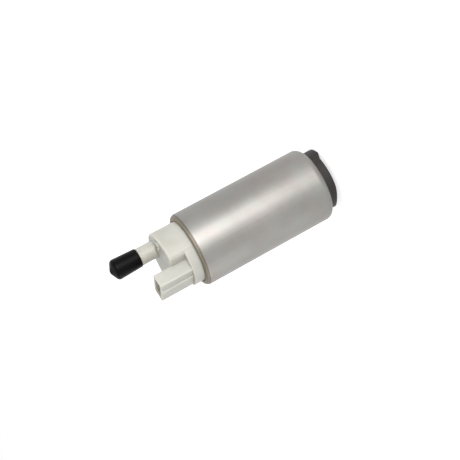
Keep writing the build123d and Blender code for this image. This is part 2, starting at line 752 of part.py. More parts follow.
# Outlet cover: one white moulding with the tower, the connector and the nipple
with BuildPart() as outlet_cover:
    with BuildSketch(Plane.XY.offset(shoulder_top)):
        Circle(collar_radius)
        with Locations((-tower_chord, 0)):
            Rectangle(collar_diameter, collar_diameter, align=(Align.MAX, Align.CENTER),
                      mode=Mode.SUBTRACT)
        fillet(vertices(), tower_corner)
    extrude(amount=tower_top - shoulder_top)
    fillet(edges().group_by(Axis.Z)[-1], tower_round)
    with BuildSketch(Plane.XY.offset(tower_top - relief_rim_height)):
        with Locations((relief_x, relief_y)):
            Circle(relief_rim_diameter / 2)
    extrude(amount=2 * relief_rim_height)
    fillet(edges().group_by(Axis.Z)[-1], relief_rim_edge)
    with BuildSketch(Plane.XZ):
        with Locations((0, flux_ring_top)):
            Rectangle(fit_radius, shoulder_top - flux_ring_top, align=(Align.MIN, Align.MIN))
        fillet(vertices().group_by(Axis.X)[-1].sort_by(Axis.Y)[-1], outlet_bend - can_wall - slip)
    revolve(axis=Axis.Z)
    with BuildSketch(Plane.XZ):
        with Locations((0, shoulder_top)):
            Rectangle(collar_radius - tower_step, collar_top - shoulder_top,
                      align=(Align.MIN, Align.MIN))
        fillet(vertices().group_by(Axis.X)[-1].sort_by(Axis.Y)[-1], collar_edge)
    revolve(axis=Axis.Z)
    with BuildSketch(Plane.XY.offset(collar_top)):
        with Locations((-connector_centre, 0)):
            Rectangle(connector_depth, connector_width)
        fillet(vertices(), connector_round)
        with Locations((-connector_inner - connector_depth, 0)):
            RectangleRounded(2 * rib_height, rib_width, rib_round)
    extrude(amount=connector_top - collar_top)
    fillet(faces().sort_by(Axis.Z)[-1].edges(), connector_edge)
    with BuildSketch(upright_plane(nipple_offset, 0)):
        with BuildLine():
            Polyline((nipple_radius, nipple_shoulder), (0, nipple_shoulder),
                     (0, tower_top - nipple_root_depth),
                     (nipple_radius + nipple_flare, tower_top - nipple_root_depth),
                     (nipple_radius + nipple_flare, tower_top))
            RadiusArc((nipple_radius + nipple_flare, tower_top),
                      (nipple_radius, tower_top + nipple_flare), -nipple_flare)
            Line((nipple_radius, tower_top + nipple_flare), (nipple_radius, nipple_shoulder))
        make_face()
        fillet(vertices().filter_by(
            lambda vertex: vertex.X > 0 and vertex.Y > nipple_shoulder - slip), nipple_edge)
    revolve(axis=nipple_axis)
    with BuildSketch(upright_plane(nipple_offset, 0)):
        with Locations((0, nipple_shoulder)):
            Rectangle(barb_root_diameter / 2, nipple_tip - nipple_shoulder,
                      align=(Align.MIN, Align.MIN))
        for barb_foot in barb_feet:
            with BuildLine():
                Polyline((0, barb_foot), (barb_diameter / 2, barb_foot),
                         (barb_diameter / 2, barb_foot + barb_edge),
                         (barb_root_diameter / 2, barb_foot + barb_pitch),
                         (0, barb_foot + barb_pitch), close=True)
            make_face()
    revolve(axis=nipple_axis)
    # Hollow under the motor end, with the bearing boss and the two brush tubes left standing
    with BuildSketch(Plane.XY.offset(flux_ring_top)):
        Circle(cavity_diameter / 2)
    extrude(amount=cavity_depth, mode=Mode.SUBTRACT)
    with BuildSketch(Plane.XY.offset(cavity_roof)):
        Circle(bearing_boss_diameter / 2)
    extrude(amount=bearing_boss_foot - cavity_roof)
    with BuildSketch(Plane.XY.offset(cavity_roof)):
        with Locations(*brush_places):
            Rectangle(brush_width + 2 * running + 2 * tube_wall,
                      brush_depth + 2 * running + 2 * tube_wall)
    extrude(amount=commutator_face + tube_clear - cavity_roof)
    with BuildSketch(Plane.XY.offset(commutator_face)):
        with Locations(*brush_places):
            Rectangle(brush_width + 2 * running, brush_depth + 2 * running)
    extrude(amount=contact_top + running - commutator_face, mode=Mode.SUBTRACT)
    with BuildSketch(Plane.XY.offset(bearing_boss_foot)):
        Circle(bush_diameter / 2 + press)
    extrude(amount=bush_length, mode=Mode.SUBTRACT)
    with BuildSketch(Plane.XY.offset(bearing_boss_foot)):
        Circle(shaft_radius + contact_gap)
    extrude(amount=bush_length + shaft_end_room, mode=Mode.SUBTRACT)
    # Room for the chokes, the contact strips and the terminals
    with BuildSketch(Plane.XY.offset(cavity_roof)):
        with Locations(*choke_places):
            Circle(choke_diameter / 2 + 2 * slip)
    extrude(amount=choke_pocket_depth, mode=Mode.SUBTRACT)
    for side in sides:
        extrude(contact_outline(side, running), amount=contact_thickness / 2 + running,
                both=True, mode=Mode.SUBTRACT)
        extrude(terminal_outline(side, running), amount=terminal_thickness / 2 + running,
                both=True, mode=Mode.SUBTRACT)
    with BuildSketch(Plane.XY.offset(socket_floor)):
        with Locations((-connector_centre, 0)):
            Rectangle(connector_depth - 2 * socket_wall, connector_width - 2 * socket_wall)
    extrude(amount=socket_depth, mode=Mode.SUBTRACT)
    with BuildSketch(Plane.XY.offset(connector_top)):
        with Locations((-connector_centre, 0)):
            Rectangle(connector_depth - 2 * socket_wall + 2 * socket_mouth,
                      connector_width - 2 * socket_wall + 2 * socket_mouth)
    extrude(amount=-socket_mouth, taper=45, mode=Mode.SUBTRACT)
    # Fuel way through the check valve, and the relief valve beside it
    with BuildSketch(Plane.XY.offset(cavity_roof)):
        with Locations((nipple_offset, 0)):
            Circle(check_bore_diameter / 2)
    extrude(amount=check_roof_height - cavity_roof, mode=Mode.SUBTRACT)
    with BuildSketch(Plane.XY.offset(check_roof_height)):
        with Locations((nipple_offset, 0)):
            Circle(nipple_bore_diameter / 2)
    extrude(amount=nipple_tip - check_roof_height, mode=Mode.SUBTRACT)
    with BuildSketch(Plane.XY.offset(relief_floor)):
        with Locations((relief_x, relief_y)):
            Circle(relief_bore_diameter / 2)
    extrude(amount=relief_rim_top - relief_floor, mode=Mode.SUBTRACT)
    with BuildSketch(Plane.XY.offset(cavity_roof)):
        with Locations((relief_x, relief_y)):
            Circle(relief_feed_diameter / 2)
    extrude(amount=relief_floor - cavity_roof, mode=Mode.SUBTRACT)
    revolve(seal_groove(shoulder_top - cover_seal_drop), axis=Axis.Z, mode=Mode.SUBTRACT)
save(outlet_cover.part, "outlet_cover")

valve_axis = nipple_axis
seat_bore_radius = check_seat_bore_diameter / 2
seat_radius = check_bore_diameter / 2 - running

# Check valve: a seat pressed into the cover and a guided poppet that a spring closes
with BuildPart() as check_valve_seat:
    with BuildSketch(upright_plane(nipple_offset, 0)):
        with Locations((seat_bore_radius, check_seat_foot)):
            Rectangle(seat_radius - seat_bore_radius, check_seat_height,
                      align=(Align.MIN, Align.MIN))
        chamfer(vertices().group_by(Axis.X)[0].sort_by(Axis.Y)[-1], check_seat_chamfer)
    revolve(axis=valve_axis)
save(check_valve_seat.part, "check_valve_seat")

with BuildPart() as check_valve_poppet:
    with BuildSketch(upright_plane(nipple_offset, 0)):
        with BuildLine():
            nose_foot = check_seat_top - check_seat_chamfer
            Polyline((0, nose_foot), (seat_bore_radius - contact_gap, nose_foot),
                     (seat_bore_radius + check_seat_chamfer, poppet_foot),
                     (poppet_diameter / 2, poppet_foot), (poppet_diameter / 2, poppet_top),
                     (poppet_stem_diameter / 2, poppet_top),
                     (poppet_stem_diameter / 2, poppet_top + poppet_stem_length),
                     (0, poppet_top + poppet_stem_length), close=True)
        make_face()
    revolve(axis=valve_axis)
    with BuildSketch(Plane.XY.offset(poppet_foot)):
        with Locations((nipple_offset, 0)):
            with PolarLocations(poppet_diameter / 2 - poppet_fin_thickness, poppet_fin_count):
                Rectangle(poppet_fin_thickness + poppet_fin_reach, poppet_fin_thickness,
                          align=(Align.MIN, Align.CENTER))
    extrude(amount=poppet_head_height)
save(check_valve_poppet.part, "check_valve_poppet")

with BuildPart() as check_valve_spring:
    with BuildSketch(Plane.XY.offset(poppet_top)):
        with Locations((nipple_offset, 0)):
            Circle(check_spring_diameter / 2)
            Circle(check_spring_diameter / 2 - check_wire, mode=Mode.SUBTRACT)
    extrude(amount=check_roof_height - poppet_top)
save(check_valve_spring.part, "check_valve_spring")

# Relief valve: a ball on the edge of its feed hole, a spring and a vented plug
relief_ball_radius = relief_ball_diameter / 2
relief_ball_height = relief_floor + contact_gap + math.sqrt(
    relief_ball_radius ** 2 - (relief_feed_diameter / 2) ** 2)
relief_spring_bore = relief_spring_diameter / 2 - relief_wire
relief_spring_foot = relief_ball_height + math.sqrt(
    relief_ball_radius ** 2 - relief_spring_bore ** 2)

with BuildPart() as relief_ball:
    with Locations((relief_x, relief_y, relief_ball_height)):
        Sphere(relief_ball_radius)
save(relief_ball.part, "relief_ball")

with BuildPart() as relief_spring:
    with BuildSketch(Plane.XY.offset(relief_spring_foot)):
        with Locations((relief_x, relief_y)):
            Circle(relief_spring_diameter / 2)
            Circle(relief_spring_bore, mode=Mode.SUBTRACT)
    extrude(amount=relief_plug_foot - relief_spring_foot)
save(relief_spring.part, "relief_spring")

with BuildPart() as relief_plug:
    with BuildSketch(Plane.XY.offset(relief_plug_foot)):
        with Locations((relief_x, relief_y)):
            Circle(relief_bore_diameter / 2 - press)
            Circle(relief_vent_diameter / 2, mode=Mode.SUBTRACT)
    extrude(amount=relief_plug_length)
save(relief_plug.part, "relief_plug")

# Outlet cap: the soft transport cap pushed over the nipple
with BuildPart() as outlet_cap:
    with BuildSketch(upright_plane(nipple_offset, 0)):
        with BuildLine():
            Polyline((0, cap_mouth), (cap_mouth_diameter / 2, cap_mouth),
                     (cap_end_diameter / 2, cap_cone_foot),
                     (cap_cone_tip_diameter / 2, cap_cone_foot + cap_cone_height),
                     (0, cap_cone_foot + cap_cone_height), close=True)
        make_face()
        fillet(vertices().sort_by(Axis.X)[-1], cap_shoulder_round)
        fillet(vertices().filter_by(lambda vertex: vertex.X > slip).group_by(Axis.Y)[0], cap_round)
        with Locations((0, cap_mouth)):
            Rectangle(barb_diameter / 2 + slip, nipple_tip + cap_end_room - cap_mouth,
                      align=(Align.MIN, Align.MIN), mode=Mode.SUBTRACT)
    revolve(axis=nipple_axis)
save(outlet_cap.part, "outlet_cap")
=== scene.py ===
# %% [markdown]
# # An electric fuel pump, dressed for a studio picture
# The pump stands upright in its own frame: the inlet is at the bottom, the outlet nipple and the
# connector are on top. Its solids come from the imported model, which is the fixed frame of this
# scene. Each step below says what a piece or a finish is on the real pump, how it could be made
# and why it is made this way, and then makes it.

# %% Load the frame
import json
import math

import bmesh
import bpy
from mathutils import Matrix, Vector


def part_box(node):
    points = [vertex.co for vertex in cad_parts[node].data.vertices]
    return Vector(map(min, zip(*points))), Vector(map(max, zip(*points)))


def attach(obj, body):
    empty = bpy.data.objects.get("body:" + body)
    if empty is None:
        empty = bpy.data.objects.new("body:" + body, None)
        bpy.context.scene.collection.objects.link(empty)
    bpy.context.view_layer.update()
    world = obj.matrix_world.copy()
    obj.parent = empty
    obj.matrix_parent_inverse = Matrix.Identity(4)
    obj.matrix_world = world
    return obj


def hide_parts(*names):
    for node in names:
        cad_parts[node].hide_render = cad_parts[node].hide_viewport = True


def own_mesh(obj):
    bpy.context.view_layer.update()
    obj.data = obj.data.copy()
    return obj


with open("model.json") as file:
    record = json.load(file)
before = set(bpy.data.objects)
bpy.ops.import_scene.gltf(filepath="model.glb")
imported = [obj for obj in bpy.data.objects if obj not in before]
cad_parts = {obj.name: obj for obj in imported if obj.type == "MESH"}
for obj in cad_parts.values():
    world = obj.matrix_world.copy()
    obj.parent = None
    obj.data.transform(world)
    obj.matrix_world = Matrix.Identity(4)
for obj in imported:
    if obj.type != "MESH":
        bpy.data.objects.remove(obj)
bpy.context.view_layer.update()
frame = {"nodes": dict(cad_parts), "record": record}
nodes = frame["nodes"]
mm = 0.001

# %% [markdown]
# ## Sizes that the frame gives
# A new piece has to sit where the solids are, so its sizes are read from their boxes and not
# typed again. The can's box gives its radius, its foot and its top. The lip that is rolled over
# the outlet cover takes up the last stretch below the top. A crease marks where it begins, and
# its edge is a little rounded.

# %% Read the can's sizes
lip_height = 1.26 * mm
lip_edge = 0.3 * mm
can_low, can_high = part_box("can_shell")
can_radius = can_high.x
crease_height = can_high.z - lip_height
print("can radius", round(can_radius / mm, 2), "mm, from", round(can_low.z / mm, 2), "to",
      round(can_high.z / mm, 2), "mm")

# %% [markdown]
# ## Camera
# The photograph was taken from a little above the pump, and then turned so that the pump lies
# across the picture. Laying the pump down instead would move it out of its frame, so the camera
# is rolled: it looks from the photograph's own place at a point near the middle of the can, and
# is turned about its line of sight. A small shift slides the picture to the photograph's framing
# without a change of the view.

# %% Place the camera
camera_distance = 0.615
camera_elevation = math.radians(15.07)
head_turn = math.radians(23.88)
camera_roll = math.radians(118.54)
aim_above_foot = 35.945 * mm
straight_up = Vector((0, 0, 1))
target = Vector((0, 0, can_low.z + aim_above_foot))
away = Vector((-math.sin(head_turn) * math.cos(camera_elevation),
               -math.cos(head_turn) * math.cos(camera_elevation), math.sin(camera_elevation)))
sight = -away
level = sight.cross(straight_up).normalized()
upward = level.cross(sight)
camera_right = level * math.cos(camera_roll) - upward * math.sin(camera_roll)
camera_up = level * math.sin(camera_roll) + upward * math.cos(camera_roll)

camera_data = bpy.data.cameras.new("camera")
camera_data.lens = 98.62
camera_data.sensor_width = 36.0
camera_data.shift_x = -0.0490
camera_data.shift_y = -0.0304
camera_data.clip_start = 0.01
camera_data.clip_end = 60.0
camera = bpy.data.objects.new("camera", camera_data)
bpy.context.scene.collection.objects.link(camera)
camera.matrix_world = Matrix.Translation(target + away * camera_distance) @ Matrix(
    (camera_right, camera_up, away)).transposed().to_4x4()
bpy.context.scene.camera = camera
print("camera at", [round(value, 4) for value in camera.matrix_world.translation])

# %% [markdown]
# ## Helpers that add nodes
# Materials and geometry rules are both trees of nodes. Written out, each node takes five lines,
# so one helper adds a node and sets or links its inputs in a single call. A second one adds a
# math node, which lets a formula read as a nest of calls.

# %% Nodes and arithmetic
def tree_node(tree, kind, inputs=None, **settings):
    """A node whose inputs are set to values or linked to other nodes' outputs."""
    made = tree.nodes.new(kind)
    for name, value in settings.items():
        setattr(made, name, value)
    for name, value in (inputs or {}).items():
        if isinstance(value, bpy.types.NodeSocket):
            tree.links.new(value, made.inputs[name])
        else:
            made.inputs[name].default_value = value
    return made


def calculate(tree, operation, first, second=0.0):
    """The result of one math node. An operation on one value leaves out the second."""
    return tree_node(tree, "ShaderNodeMath", {0: first, 1: second},
                     operation=operation).outputs[0]


print("node helpers ready")

# %% [markdown]
# ## Where a finish varies
# Real surfaces are never one flat colour. Every finish below starts from noise, or from the
# height of a point on the pump. Both read the piece's Object coordinates, so they need no
# unwrapping, as a picture would, and stay put when the piece moves.

# %% Noise and height
def object_noise(tree, cells_per_metre, detail, stretch=(1.0, 1.0, 1.0)):
    """Noise that is fixed to the piece. A stretch under one draws it out along that axis."""
    place = tree_node(tree, "ShaderNodeTexCoord")
    mapping = tree_node(tree, "ShaderNodeMapping", {"Vector": place.outputs["Object"],
                                                    "Scale": stretch})
    return tree_node(tree, "ShaderNodeTexNoise", {"Vector": mapping.outputs["Vector"],
                                                  "Scale": cells_per_metre, "Detail": detail,
                                                  "Roughness": 0.55}).outputs["Fac"]


def height_on_piece(tree):
    """How far up the pump a point is, in metres, from the piece's own coordinates."""
    place = tree_node(tree, "ShaderNodeTexCoord")
    return tree_node(tree, "ShaderNodeSeparateXYZ", {0: place.outputs["Object"]}).outputs["Z"]


print("noise and height ready")

# %% [markdown]
# ## From noise to a finish
# The noise goes from 0 to 1, but is seldom near either end, so it counts from 0.3 to 0.7. It is
# turned into a colour between two tones, a number between two ends, or a bump, which bends the
# light as a relief would and moves no point. Each finish names its values by the sockets of one
# Principled shader.

# %% Colours, numbers, bumps and finishes
def between(tree, factor, low, high, start=0.3, end=0.7):
    """Grey or colour that goes from low to high as the factor goes from start to end."""
    ramp = tree_node(tree, "ShaderNodeValToRGB", {"Fac": factor})
    for element, place, value in zip(ramp.color_ramp.elements, (start, end), (low, high)):
        element.position = place
        element.color = (*value, 1.0) if isinstance(value, tuple) else (value, value, value, 1.0)
    return ramp.outputs["Color"]


def number(tree, factor, low, high, start=0.3, end=0.7):
    """Number that goes from low to high as the factor goes from start to end."""
    return tree_node(tree, "ShaderNodeMapRange", {"Value": factor, "From Min": start,
                                                  "From Max": end, "To Min": low,
                                                  "To Max": high}).outputs["Result"]


def multiply(tree, first, second):
    """Two colours multiplied. Sockets 6 and 7 of the node are the ones for colours."""
    return tree_node(tree, "ShaderNodeMix", {"Factor": 1.0, 6: first, 7: second},
                     data_type="RGBA", blend_type="MULTIPLY").outputs[2]


def bump(tree, relief, strength, depth):
    """A bent normal that makes the relief look depth metres deep."""
    return tree_node(tree, "ShaderNodeBump", {"Height": relief, "Strength": strength,
                                              "Distance": depth}).outputs["Normal"]


def finish(name, build):
    """A material whose Principled inputs are what build returns."""
    material = bpy.data.materials.new(name)
    material.use_nodes = True
    tree = material.node_tree
    shader = tree.nodes["Principled BSDF"]
    for socket, value in build(tree).items():
        if isinstance(value, bpy.types.NodeSocket):
            tree.links.new(value, shader.inputs[socket])
        else:
            shader.inputs[socket].default_value = value
    return material


print("finish helpers ready")

# %% [markdown]
# ## The can's finish
# The can is drawn steel with a thin satin plating. Drawing leaves faint streaks along it, and
# polishing leaves fine rings round it, which spread the lamp's image into a broad soft band.
# Both are noise, drawn out along Z for the streaks and round the can for the rings. Roughness
# alone would give the band, but without a trace of its making the can would look painted.
# Handling leaves clouds in the grey, and tarnish tints them warm or cool. The lip is painted darker
# and warmer, a painted dark reflection with some dirt, and painted shade darkens its crease. Both
# are painted by the height of the point.

# %% Satin steel
crease_shade_reach = 0.45 * mm


def steel_tone(tree, clouds):
    """The plating's grey, clouded by handling and tinted by tarnish."""
    streaks = object_noise(tree, 900.0, detail=4.0, stretch=(1.0, 1.0, 0.02))
    tarnish = object_noise(tree, 100.0, detail=3.0)
    grey = between(tree, clouds, (0.243, 0.238, 0.231), (0.288, 0.286, 0.279))
    tint = between(tree, tarnish, (1.05, 0.98, 0.955), (0.985, 1.005, 0.965))
    return multiply(tree, multiply(tree, grey, tint), between(tree, streaks, 0.95, 1.0))


def lip_shade_and_dirt(tree):
    """White over the can, painted reflection and dirt on the lip, painted shade at the crease."""
    height = height_on_piece(tree)
    # Painted dark reflection with some dirt: the lip's colour goes darker and warmer above the
    # crease.
    on_lip = number(tree, height, 0.0, 1.0, start=crease_height, end=can_high.z - lip_edge)
    lip_darkening = between(tree, on_lip, (1.0, 1.0, 1.0), (0.80, 0.72, 0.55), start=0.0, end=1.0)
    off_crease = calculate(tree, "ABSOLUTE", calculate(tree, "SUBTRACT", height, crease_height))
    # Painted shade: the colour darkens close to the crease, where shade falls.
    near_crease = number(tree, off_crease, 1.0, 0.0, start=0.0, end=crease_shade_reach)
    crease_shade = between(tree, near_crease, (1.0, 1.0, 1.0), (0.52, 0.44, 0.36), start=0.0, end=1.0)
    return multiply(tree, lip_darkening, crease_shade)


def can_steel(tree):
    clouds = object_noise(tree, 48.0, detail=3.0)
    rings = object_noise(tree, 5200.0, detail=1.0, stretch=(0.03, 0.03, 1.0))
    return {"Base Color": multiply(tree, steel_tone(tree, clouds), lip_shade_and_dirt(tree)),
            "Metallic": 1.0, "Roughness": number(tree, clouds, 0.42, 0.46),
            "Normal": bump(tree, rings, strength=0.5, depth=0.025 * mm)}


steel_finish = finish("can_steel", can_steel)
print("made", steel_finish.name)

# %% [markdown]
# ## The outlet cover's finish
# The cover is one off-white acetal moulding. Light goes some way into this plastic, so its
# shadow sides are filled and soft. Plain white would look like plaster there, so the light is
# let in with subsurface scattering, 4 mm deep and a little less for blue, which keeps the
# shadows warm. The skin has the fine matte grain of the mould, as a shallow bump.

# %% Off-white acetal
def white_acetal(tree):
    clouds = object_noise(tree, 120.0, detail=2.0)
    grain = object_noise(tree, 4200.0, detail=2.0)
    return {"Base Color": between(tree, clouds, (0.520, 0.509, 0.455), (0.560, 0.552, 0.505)),
            "Roughness": 0.42, "IOR": 1.48, "Subsurface Weight": 0.85,
            "Subsurface Radius": (1.0, 0.92, 0.78), "Subsurface Scale": 4.0 * mm,
            "Normal": bump(tree, grain, strength=0.12, depth=0.02 * mm)}


white_finish = finish("white_acetal", white_acetal)
print("made", white_finish.name)

# %% [markdown]
# ## The inlet cover's finish
# The inlet cover is filled black plastic that has gone charcoal. The filler leaves faint flow
# streaks along the axis and a matte grain, so the colour comes from noise drawn out along Z and
# the grain from a finer one. A plain dark grey would lose the cover's edges in the shade.

# %% Charcoal plastic
def charcoal_plastic(tree):
    streaks = object_noise(tree, 700.0, detail=3.0, stretch=(1.0, 1.0, 0.06))
    grain = object_noise(tree, 3600.0, detail=2.0)
    return {"Base Color": between(tree, streaks, (0.024, 0.021, 0.020), (0.031, 0.028, 0.026)),
            "Roughness": 0.55, "IOR": 1.45, "Specular IOR Level": 0.3,
            "Normal": bump(tree, grain, strength=0.2, depth=0.03 * mm)}


charcoal_finish = finish("charcoal_plastic", charcoal_plastic)
print("made", charcoal_finish.name)

# %% [markdown]
# ## The cap's finish
# The transport cap is soft black vinyl, darker and smoother than the cover. Its colour is nearly
# nothing, and the eye reads its shape from the gloss alone. In a white room a usual gloss would
# turn it grey, so the specular level is low. Handling leaves smears, which change the roughness.

# %% Soft black vinyl
def soft_vinyl(tree):
    smears = object_noise(tree, 260.0, detail=3.0)
    grain = object_noise(tree, 3000.0, detail=2.0)
    return {"Base Color": between(tree, smears, (0.0005, 0.0004, 0.0004), (0.0010, 0.0009, 0.0009)),
            "Roughness": number(tree, smears, 0.36, 0.40), "IOR": 1.45,
            "Specular IOR Level": 0.10,
            "Normal": bump(tree, grain, strength=0.08, depth=0.02 * mm)}


vinyl_finish = finish("soft_black", soft_vinyl)
print("made", vinyl_finish.name)

# %% [markdown]
# ## Finishes of the inner pieces
# The motor and the valves are sealed in the can, but they are real pieces, and a pump that is
# taken apart shows them. Fourteen separate recipes would differ only in colour and roughness, so
# two families make them all: bare metal with fine tool marks along the axis, and dull plastic,
# rubber, carbon, fibre or ferrite with a fine grain. Each function returns the recipe of one
# material, which goes from its dark tone to its light one.

# %% Inner metals and plastics
def inner_metal(dark, light, roughness):
    """The recipe of a bare metal with tool marks along the axis."""
    def build(tree):
        marks = object_noise(tree, 1800.0, detail=3.0, stretch=(1.0, 1.0, 0.1))
        return {"Base Color": between(tree, marks, dark, light), "Metallic": 1.0,
                "Roughness": roughness,
                "Normal": bump(tree, marks, strength=0.15, depth=0.02 * mm)}
    return build


def inner_solid(dark, light, roughness):
    """The recipe of a dull material with a fine grain."""
    def build(tree):
        grain = object_noise(tree, 2400.0, detail=3.0)
        return {"Base Color": between(tree, grain, dark, light), "Roughness": roughness,
                "Normal": bump(tree, grain, strength=0.25, depth=0.03 * mm)}
    return build


inner_looks = {
    "casing_plastic": inner_solid((0.050, 0.047, 0.045), (0.075, 0.070, 0.066), 0.55),
    "seal_rubber": inner_solid((0.016, 0.014, 0.013), (0.026, 0.023, 0.021), 0.70),
    "impeller_plastic": inner_solid((0.10, 0.060, 0.035), (0.14, 0.085, 0.050), 0.50),
    "shaft_steel": inner_metal((0.50, 0.50, 0.49), (0.62, 0.62, 0.61), 0.25),
    "spring_steel": inner_metal((0.42, 0.42, 0.41), (0.52, 0.52, 0.51), 0.30),
    "soft_iron": inner_metal((0.20, 0.20, 0.21), (0.30, 0.30, 0.31), 0.50),
    "lamination_steel": inner_metal((0.26, 0.26, 0.27), (0.36, 0.36, 0.37), 0.45),
    "ferrite": inner_solid((0.030, 0.030, 0.034), (0.055, 0.055, 0.060), 0.60),
    "carbon": inner_solid((0.020, 0.020, 0.021), (0.036, 0.036, 0.037), 0.50),
    "copper_wire": inner_metal((0.60, 0.22, 0.09), (0.78, 0.36, 0.16), 0.30),
    "copper_segment": inner_metal((0.68, 0.34, 0.19), (0.80, 0.44, 0.27), 0.28),
    "brass_strip": inner_metal((0.56, 0.46, 0.27), (0.68, 0.57, 0.35), 0.30),
    "insulator_fibre": inner_solid((0.30, 0.080, 0.050), (0.42, 0.13, 0.080), 0.65),
    "hub_phenolic": inner_solid((0.080, 0.040, 0.020), (0.12, 0.065, 0.035), 0.50),
}
finishes = {"can_steel": steel_finish, "white_acetal": white_finish,
            "charcoal_plastic": charcoal_finish, "soft_black": vinyl_finish}
finishes.update({name: finish(name, build) for name, build in inner_looks.items()})
print("finishes", len(finishes))

# %% [markdown]
# ## Plates and wire on the armature
# The armature's core is a stack of stamped plates half a millimetre thick, and its windings are
# layers of enamelled wire. Dozens of plates and hundreds of turns would be far more faces than
# a sealed piece needs. Both repeat along the shaft, so one wave of the height draws the seams
# between the plates and the rounds of the wire, as bump and as a darker line, which between the
# rounds of wire is painted shade.

# %% Stacked plates and wound wire
plate_thickness = 0.5 * mm
enamelled_wire = 0.45 * mm


def waves(tree, pitch):
    """A wave of the height, from 0 in a seam to 1 between two seams."""
    turns = calculate(tree, "MULTIPLY", height_on_piece(tree), math.tau / pitch)
    return number(tree, calculate(tree, "COSINE", turns), 0.0, 1.0, start=-1.0, end=1.0)


def stacked_plates(tree):
    plates = waves(tree, plate_thickness)
    marks = object_noise(tree, 1500.0, detail=3.0, stretch=(1.0, 1.0, 0.3))
    steel = between(tree, marks, (0.26, 0.26, 0.27), (0.36, 0.36, 0.37))
    seams = between(tree, plates, 0.45, 1.0, start=0.0, end=0.35)
    return {"Base Color": multiply(tree, steel, seams), "Metallic": 1.0, "Roughness": 0.45,
            "Normal": bump(tree, plates, strength=0.5, depth=0.04 * mm)}


def wound_wire(tree):
    rounds = waves(tree, enamelled_wire)
    marks = object_noise(tree, 1500.0, detail=2.0)
    copper = between(tree, marks, (0.60, 0.22, 0.09), (0.78, 0.36, 0.16))
    # Painted shade: the colour darkens in the grooves between the rounds of wire.
    seams = between(tree, rounds, 0.40, 1.0, start=0.0, end=0.5)
    return {"Base Color": multiply(tree, copper, seams), "Metallic": 1.0, "Roughness": 0.32,
            "Normal": bump(tree, rounds, strength=0.8, depth=0.15 * mm)}


armature_finishes = {"rotor_core": finish("stacked_plates", stacked_plates),
                     "rotor_windings": finish("wound_wire", wound_wire)}
print("armature finishes for", sorted(armature_finishes))

# %% [markdown]
# ## Dress the solids
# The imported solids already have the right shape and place, so most of them stay. Each one names
# its material slot in the record, and only the material in that slot changes. The two armature
# pieces take their own finish instead of their slot's.

# %% Give every solid its finish
slot_of = {entry["node"]: entry["material_slot"] for entry in frame["record"]["subparts"]}
for name, solid in nodes.items():
    look = armature_finishes.get(name, finishes[slot_of[name]])
    for slot in solid.material_slots:
        slot.material = look
print("dressed", len(nodes), "solids")

# %% [markdown]
# ## Pieces made by geometry nodes
# A turned shell and a coil both follow a rule. Mesh code could place every point in a loop, but
# a tree of geometry nodes says the rule once, with its sizes as named inputs, so one tree makes
# the wire of every spring. Every tree ends alike: smooth faces with sharp corners, real geometry
# instead of instances, and the finish.

# %% How a tree starts and ends
def new_tree(name, sizes):
    """A geometry tree with named number inputs, a material input and a geometry output."""
    tree = bpy.data.node_groups.new(name, "GeometryNodeTree")
    kinds = {float: "NodeSocketFloat", int: "NodeSocketInt"}
    tree.interface.new_socket("Geometry", in_out="INPUT", socket_type="NodeSocketGeometry")
    for size, kind in sizes.items():
        tree.interface.new_socket(size, in_out="INPUT", socket_type=kinds[kind])
    tree.interface.new_socket("Material", in_out="INPUT", socket_type="NodeSocketMaterial")
    tree.interface.new_socket("Geometry", in_out="OUTPUT", socket_type="NodeSocketGeometry")
    return tree, tree.nodes.new("NodeGroupInput").outputs


def close_tree(tree, sizes_in, geometry, sharp_angle):
    """The end of every tree. Edges that fold more than the sharp angle stay sharp."""
    smooth = tree_node(tree, "GeometryNodeSetShadeSmooth", {"Geometry": geometry})
    fold = tree_node(tree, "GeometryNodeInputMeshEdgeAngle").outputs["Unsigned Angle"]
    corners = calculate(tree, "GREATER_THAN", fold, sharp_angle)
    sharp = tree_node(tree, "GeometryNodeSetShadeSmooth",
                      {"Geometry": smooth.outputs[0], "Selection": corners,
                       "Shade Smooth": False}, domain="EDGE")
    real = tree_node(tree, "GeometryNodeRealizeInstances", {"Geometry": sharp.outputs[0]})
    dressed = tree_node(tree, "GeometryNodeSetMaterial", {"Geometry": real.outputs[0],
                                                          "Material": sizes_in["Material"]})
    tree_node(tree, "NodeGroupOutput", {0: dressed.outputs[0]})


print("tree helpers ready")

# %% [markdown]
# ## From a tree to a piece
# A live modifier would be worked out again at every pose, and a file of the model needs a plain
# mesh. So the modifier runs once on a starting mesh, its result is copied out, and the modifier
# is taken away. An input is set by its identifier, because its name alone is no key. The piece
# then rides on its body and stands for the solid that it replaces. A volume over zero shows
# that its faces point outwards.

# %% Run a tree and keep its mesh
def volume_of(mesh):
    """The volume in a closed mesh, in cubic metres, with a minus if it is inside out."""
    solid = bmesh.new()
    solid.from_mesh(mesh)
    volume = solid.calc_volume(signed=True)
    solid.free()
    return volume


def grow(name, tree, start, body, slot, replaced, sizes):
    """Run a tree on a starting mesh, and keep its result as a plain mesh piece."""
    source = bpy.data.objects.new(name + "_source", start)
    bpy.context.scene.collection.objects.link(source)
    modifier = source.modifiers.new(name, "NODES")
    modifier.node_group = tree
    sockets = {item.name: item.identifier for item in tree.interface.items_tree
               if item.in_out == "INPUT"}
    for size, value in sizes.items():
        modifier[sockets[size]] = value
    modifier[sockets["Material"]] = finishes[slot]
    bpy.context.view_layer.update()
    graph = bpy.context.evaluated_depsgraph_get()
    mesh = bpy.data.meshes.new_from_object(source.evaluated_get(graph))
    source.modifiers.remove(modifier)
    bpy.data.objects.remove(source)
    piece = bpy.data.objects.new(name, mesh)
    bpy.context.scene.collection.objects.link(piece)
    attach(piece, body)
    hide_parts(replaced)
    print("grew", name, "with", len(mesh.polygons), "faces and",
          round(volume_of(mesh) / mm ** 3, 1), "cubic mm on", body)
    return piece


print("grow ready")

